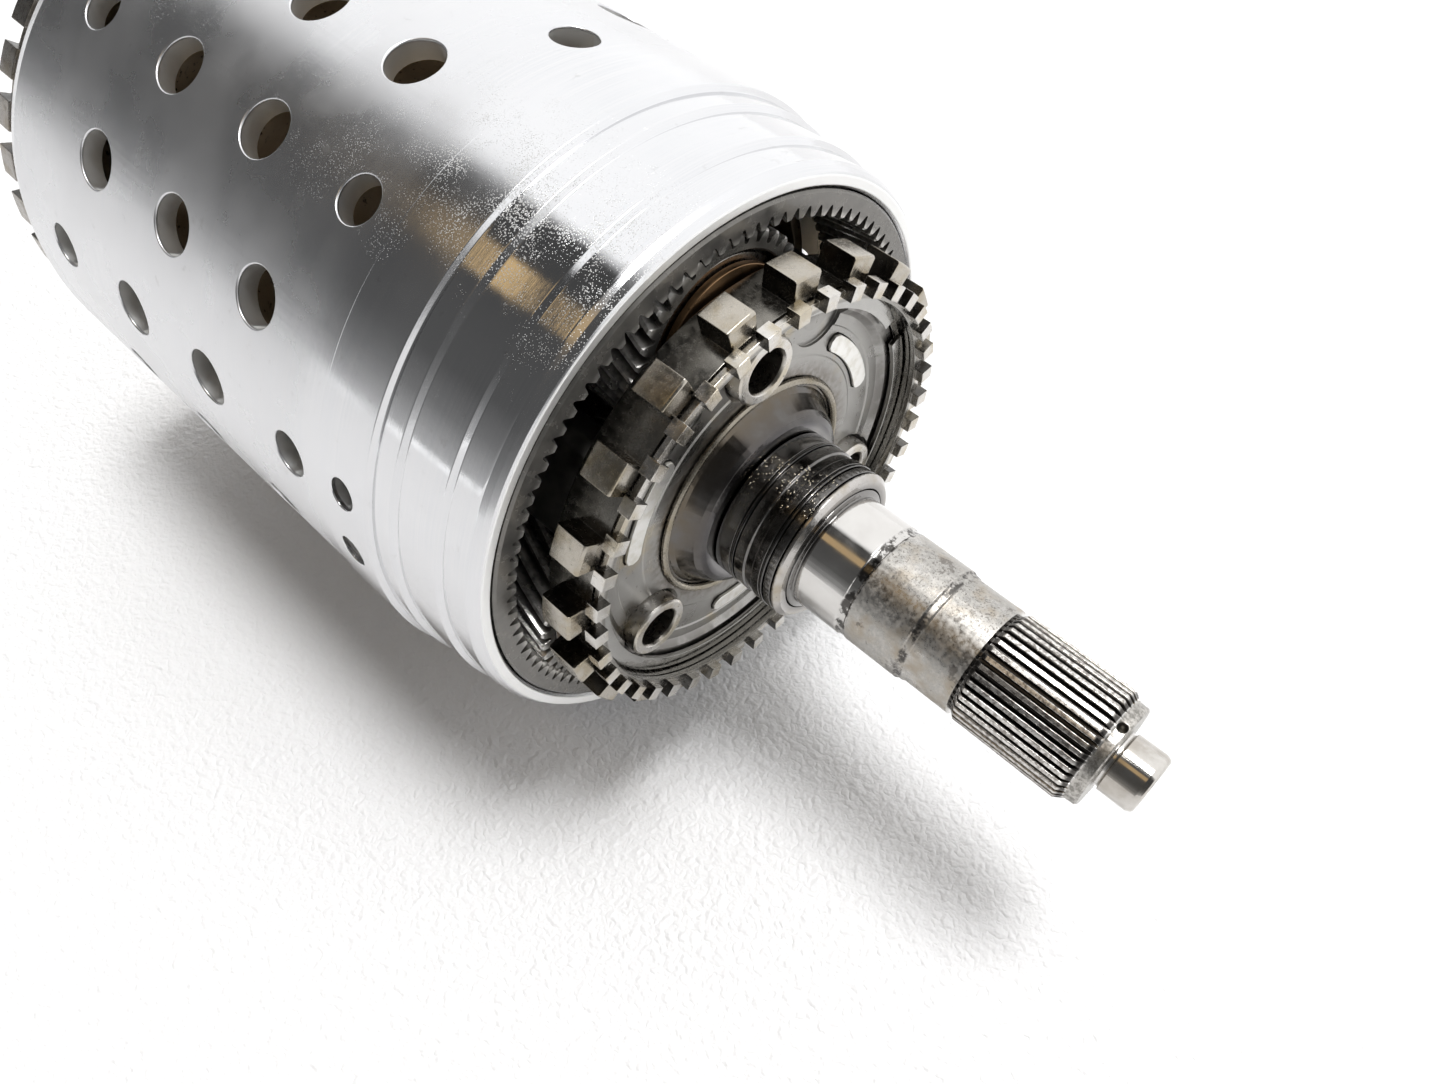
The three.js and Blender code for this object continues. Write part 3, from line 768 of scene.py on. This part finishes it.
def planet_cage():
    cage = turned("planet_cage_cast", [(-38, 24), (-32.2, 24), (-32.2, 57), (-38, 57)], sides=120, radius=0.8)
    posts, pads, bores = [], [], []
    for degrees in PLANET_ANGLES:
        middle = degrees + 60
        posts.append(soften(sector_block("post", 35, 54, middle - 16, middle + 16, -33.2, 0.1, 4), 0.5))
        pads.append(soften(sector_block("pad", 38.2, 42.8, middle - 20, middle + 20, -1.5, 10.1, 2.2), 0.3))
        bore = [(-39, 0), (-39, PIN_HOLE_R), (-31, PIN_HOLE_R), (-31, 0)]
        centre = at_angle(PIN_CIRCLE, degrees)
        bores.append(turned("bore", bore, sides=48, radius=0.1, centre=centre, open_ends=True))
    combine(cage, posts, "UNION")
    combine(cage, pads, "UNION")
    combine(cage, bores)
    finished(cage, "carrier", "plate_steel", cage_paint(), "planet_cage")


def park_gear():
    bore = [(1, RIM_BORE), (11.3, RIM_BORE), (11.3, 54.7), (14.5, 54.7)]
    low = bore + [(14.5, RIM_R), (14.5, RIM_R), (5.4, RIM_R), (5.4, RIM_R), (5.4, RIM_R), (1, RIM_R)]
    high = bore + [(14.5, 63.2), (14.0, LUG_R), (5.9, LUG_R), (5.4, 63.2), (5.4, RIM_R), (1, RIM_R)]
    first = math.radians(CARRIER_PHASE + 9)
    columns = square_columns(LUGS, first, math.radians(7.2), 5, low, high)
    gear = soften(skin("park_gear_lugs", columns), 0.2)
    paint = worn_paint(
        "park_gear_steel", (0.43, 0.40, 0.35), (0.22, 0.21, 0.19), 57.2, 60.5, rough=(0.16, 0.3)
    )
    finished(gear, "carrier", "worn_steel", paint, "park_gear")


def speed_ring():
    foot = [(14.95, 54.6), (16.4, 54.6), (16.4, 55.6)]
    low = foot + [(16.4, 55.6), (16.4, 57.4), (14.95, 57.4), (14.95, 57.4)]
    high = foot + [(18.6, 55.6), (18.6, 59.5), (14.95, 59.5), (14.95, 57.4)]
    first = math.radians(CARRIER_PHASE + 180 / SPEED_TEETH)
    columns = square_columns(SPEED_TEETH, first, math.radians(3.8), 2, low, high)
    teeth = soften(skin("speed_ring_teeth", columns), 0.16)
    paint = worn_paint(
        "speed_ring_steel", (0.62, 0.60, 0.57), (0.27, 0.26, 0.24), 55.2, 56.2, rough=(0.16, 0.3)
    )
    finished(teeth, "carrier", "worn_steel", paint, "speed_ring")
    section = [(11.65, 50.4), (12.95, 50.4), (12.95, 54.1), (11.65, 54.1)]
    columns = []
    for k in range(121):
        angle = math.radians(29 + 350 * k / 120)
        columns.append([(x, r, angle) for x, r in section])
    clip = soften(skin("carrier_snap_ring_sprung", columns, round_trip=False), 0.22)
    grey = oiled_paint("carrier_clip_steel", (0.24, 0.235, 0.22), (0.42, 0.41, 0.39), speck=0.1)
    finished(clip, "carrier", "oiled_steel", grey, "carrier_snap_ring")


def output_shaft():
    bar = [
        (20, 0), (20, 8), (0.6, 8), (0.6, 29.5), (9.4, 29.5), (9.4, 28.6), (10.5, 27.3), (12.3, 26.0),
        (14.4, 25.0), (15.6, 24.0), (16.2, 22.6), (16.4, 21.2), (16.4, 16.8), (37, 16.8), (37.3, 15.2),
        (50.2, 15.2), (50.5, 14.8), (52.4, 14.8), (52.7, 15), (67.5, 15), (67.9, 14.6), (69.3, 14.5),
        (69.7, 14.2), (81.9, 14.2),
    ]
    front = [
        (112.9, 13), (115.0, 12.9), (115.4, 12.5), (115.4, 6.8), (116.4, 6.8), (116.6, 7.4), (123.6, 7.4),
        (124.7, 6.9), (125, 6.4), (125, 5.4), (123.6, 4.7), (123.6, 0),
    ]
    bar, front = rounded(bar, 0.35, closed=False), rounded(front, 0.25, closed=False)
    root, tip = 13.1, 14.5
    tooth = [(-0.5, root), (-0.40, root), (-0.33, root + 0.5), (-0.26, tip - 0.12), (-0.21, tip)]
    tooth += [(-s, r) for s, r in reversed(tooth[1:])]
    pitch = TAU / SPLINE_TEETH
    columns = []
    for k in range(SPLINE_TEETH):
        for share, radius in tooth:
            angle = math.radians(90) + (k + share) * pitch
            runout = min(radius, root + 0.25)
            middle = [(82.5, root), (83.9, radius), (110.6, radius), (112.3, runout), (112.6, root)]
            columns.append([(x, r, angle) for x, r in bar + middle + front])
    shaft = skin("output_shaft_splined", columns)
    hole = wall_drill(113.8, 92, 1.2, 12.9, sides=24, lip=0.15)
    combine(shaft, [hole])
    finished(shaft, "carrier", "bright_steel", shaft_paint(), "output_shaft", angle=38)


def sleeve():
    profile = [
        (16.8, 17.1), (16.8, 19.9), (17.1, 20.2), (21.4, 20.2), (21.4, 19), (22.9, 19), (22.9, 20.2),
        (25.8, 20.2), (26.1, 19.8), (28.2, 19.8), (28.5, 20.2), (30.8, 20.2), (30.8, 19), (32.3, 19),
        (32.3, 20.2), (34.4, 20.2), (34.4, 17.1),
    ]
    piece = turned("seal_sleeve_turned", profile, sides=160, radius=0.2)
    black = oiled_paint("sleeve_black_oil", (0.035, 0.034, 0.034), (0.21, 0.20, 0.19), speck=0.9)
    finished(piece, "carrier", "oiled_steel", black, "seal_sleeve")
    ring_black = oiled_paint("seal_ring_black", (0.02, 0.02, 0.02), (0.10, 0.095, 0.09))
    for k, back in ((1, 21.7), (2, 31.1)):
        seal = ring(f"seal_ring_{k}_ring", back, back + 0.9, 19.3, 20.4, sides=160, radius=0.25)
        finished(seal, "carrier", "oiled_steel", ring_black, f"seal_ring_{k}")
    end = [(34.7, 17.1), (34.7, 20.0), (35.0, 20.3), (35.7, 20.3), (36.8, 19.1), (36.8, 17.1)]
    paint = worn_paint("end_ring_steel", (0.50, 0.48, 0.46), (0.20, 0.19, 0.18), 17, 20, rough=(0.1, 0.25))
    end_ring = turned("sleeve_end_ring_turned", end, sides=160, radius=0.2)
    finished(end_ring, "carrier", "bright_steel", paint, "sleeve_end_ring")
    bead = [(9.7, 29.2), (10.4, 29.4), (10.85, 29.9), (10.8, 30.6), (10.3, 31.1), (9.7, 31.3)]
    paint = worn_paint("weld_bead_steel", (0.33, 0.30, 0.25), (0.24, 0.22, 0.18), 28, 32, rough=(0.2, 0.34))
    weld = turned("hub_weld_bead_turned", bead, sides=160, radius=0.3)
    finished(weld, "carrier", "worn_steel", paint, "hub_weld_bead")


def carried_over():
    """The CAD bodies inside the gear set keep their shape and get a finish."""
    gear = gear_paint("sun_steel", 17.6, 14.5)
    dark = oiled_paint("inner_parts_oil", (0.06, 0.06, 0.06), (0.22, 0.21, 0.20))
    bar = worn_paint("sun_shaft_steel", (0.55, 0.52, 0.48), (0.22, 0.21, 0.20), 13, 20)
    paints = {"sun_gear": gear, "sun_shaft": bar, "sun_thrust_washer": dark}
    for k in range(1, 4):
        paints[f"needle_bearing_{k}"] = dark
        paints[f"planet_rear_washer_{k}"] = bar
    for node, paint in paints.items():
        piece = frame["nodes"][node]
        piece.data.materials.clear()
        piece.data.materials.append(paint)


def cage_paint():
    """Carrier body: dull and oily inside, with bright ground pads at the front."""
    p = Paint("cage_steel")
    grime = p.noise(3, detail=4)
    pads = p.step(p.x, 9.2, 9.7)
    color = p.mix(grime, (0.10, 0.095, 0.09), (0.26, 0.25, 0.23))
    ground = p.mix(p.step(grime, 0.4, 0.7), (0.84, 0.83, 0.80), (0.72, 0.70, 0.64))
    color = p.mix(pads, color, ground)
    rough = p.blend(pads, p.step(grime, 0.3, 0.7, 0.3, 0.5), p.step(grime, 0.3, 0.7, 0.36, 0.46))
    return p.finish(color, rough, (grime, 0.012))


# ---- surroundings ----
def floor():
    half = 3.0
    corners = [(-half, -half, 0), (half, -half, 0), (half, half, 0), (-half, half, 0)]
    grid = new_object("floor", corners, [(0, 1, 2, 3)])
    p = Paint("floor_leathery_white", metallic=0.0)
    grain = p.noise(3.2, detail=2, roughness=0.5)
    ridges = p.math("ABSOLUTE", p.math("SUBTRACT", grain, 0.5))
    color = p.mix(p.noise(60), (0.90, 0.90, 0.91), (0.94, 0.94, 0.94))
    grid.data.materials.append(p.finish(color, p.step(grain, 0.3, 0.7, 0.45, 0.6), (ridges, 1.1)))


def world():
    """Soft studio light: bright above +Y, dim above -Y with a warm strip, and paler near the floor."""
    sky = bpy.data.worlds.new("studio")
    bpy.context.scene.world = sky
    sky.use_nodes = True
    tree = sky.node_tree
    background = next(n for n in tree.nodes if n.type == "BACKGROUND")

    def node(kind, *values, **settings):
        made = tree.nodes.new(kind)
        for name, value in settings.items():
            setattr(made, name, value)
        for socket, value in zip(made.inputs, values):
            if isinstance(value, bpy.types.NodeSocket):
                tree.links.new(value, socket)
            else:
                socket.default_value = value
        return made.outputs

    direction = node("ShaderNodeSeparateXYZ", node("ShaderNodeTexCoord")["Generated"])
    turn = node("ShaderNodeMath", direction[2], direction[1], operation="ARCTAN2")[0]
    share = node("ShaderNodeMath", turn, math.pi, operation="DIVIDE")[0]
    grey = node("ShaderNodeValToRGB", share)
    strip = node("ShaderNodeValToRGB", share)
    along = node("ShaderNodeMath", direction[0], 0.5, 0.5, operation="MULTIPLY_ADD")[0]
    panes = node("ShaderNodeValToRGB", along)
    amount = node("ShaderNodeMath", strip[0], panes[0], operation="MULTIPLY")[0]
    mixed = node("ShaderNodeMixRGB", amount, grey[0], (0.62, 0.44, 0.23, 1))[0]
    seen = node("ShaderNodeLightPath")["Is Camera Ray"]
    shown = node("ShaderNodeMixRGB", seen, mixed, (0.70, 0.70, 0.70, 1))[0]
    tree.links.new(shown, background.inputs["Color"])
    background.inputs["Strength"].default_value = SKY
    levels = [(degrees / 180, level) for degrees, level in (
        (0, 1.0), (84, 1.0), (89, 0.05), (150, 0.08), (164, 0.16), (180, 0.42))]
    warm = [(degrees / 180, level) for degrees, level in ((105, 0), (107, 1), (117, 1), (119, 0))]
    windows = [((x + 1) / 2, level) for x, level in (
        (-0.71, 0), (-0.70, 0.8), (-0.69, 0.8), (-0.683, 0), (-0.668, 0), (-0.663, 1), (-0.63, 1),
        (-0.622, 0), (-0.5, 0), (-0.42, 0.7), (0.3, 0.7), (0.4, 0))]
    for ramp, stops in ((grey[0].node, levels), (strip[0].node, warm), (panes[0].node, windows)):
        elements = ramp.color_ramp.elements
        while len(elements) < len(stops):
            elements.new(0.5)
        for element, (position, level) in zip(elements, stops):
            element.position = position
            element.color = (level, level, level, 1)
    lamp = bpy.data.lights.new("overhead", "SUN")
    lamp.energy = KEY
    lamp.angle = math.radians(20)
    key = bpy.data.objects.new("overhead", lamp)
    key.rotation_euler = Vector((0.02, 0.15, 0.99)).to_track_quat("Z", "Y").to_euler()
    bpy.context.scene.collection.objects.link(key)


def camera():
    lens = bpy.data.cameras.new("photo_view")
    lens.lens = 27.79
    lens.sensor_width = 36
    lens.sensor_fit = "HORIZONTAL"
    lens.shift_x, lens.shift_y = -0.0146, 0.0354
    lens.clip_start = 0.01
    eye = bpy.data.objects.new("photo_view", lens)
    right = Vector((0.7225, 0.6914, 0)).normalized()
    forward = Vector((-0.37793, 0.3949, -0.8374)).normalized()
    up = right.cross(forward)
    eye.matrix_world = Matrix((
        (right.x, up.x, -forward.x, 0.168944),
        (right.y, up.y, -forward.y, -0.126504),
        (right.z, up.z, -forward.z, 0.298468),
        (0, 0, 0, 1),
    ))
    bpy.context.scene.collection.objects.link(eye)
    bpy.context.scene.camera = eye
    bpy.context.scene.view_settings.view_transform = "Standard"


camera()
world()
floor()
drum_shell()
drum_inside()
gears()
pins_and_washers()
front_plate()
planet_cage()
park_gear()
speed_ring()
output_shaft()
sleeve()
carried_over()
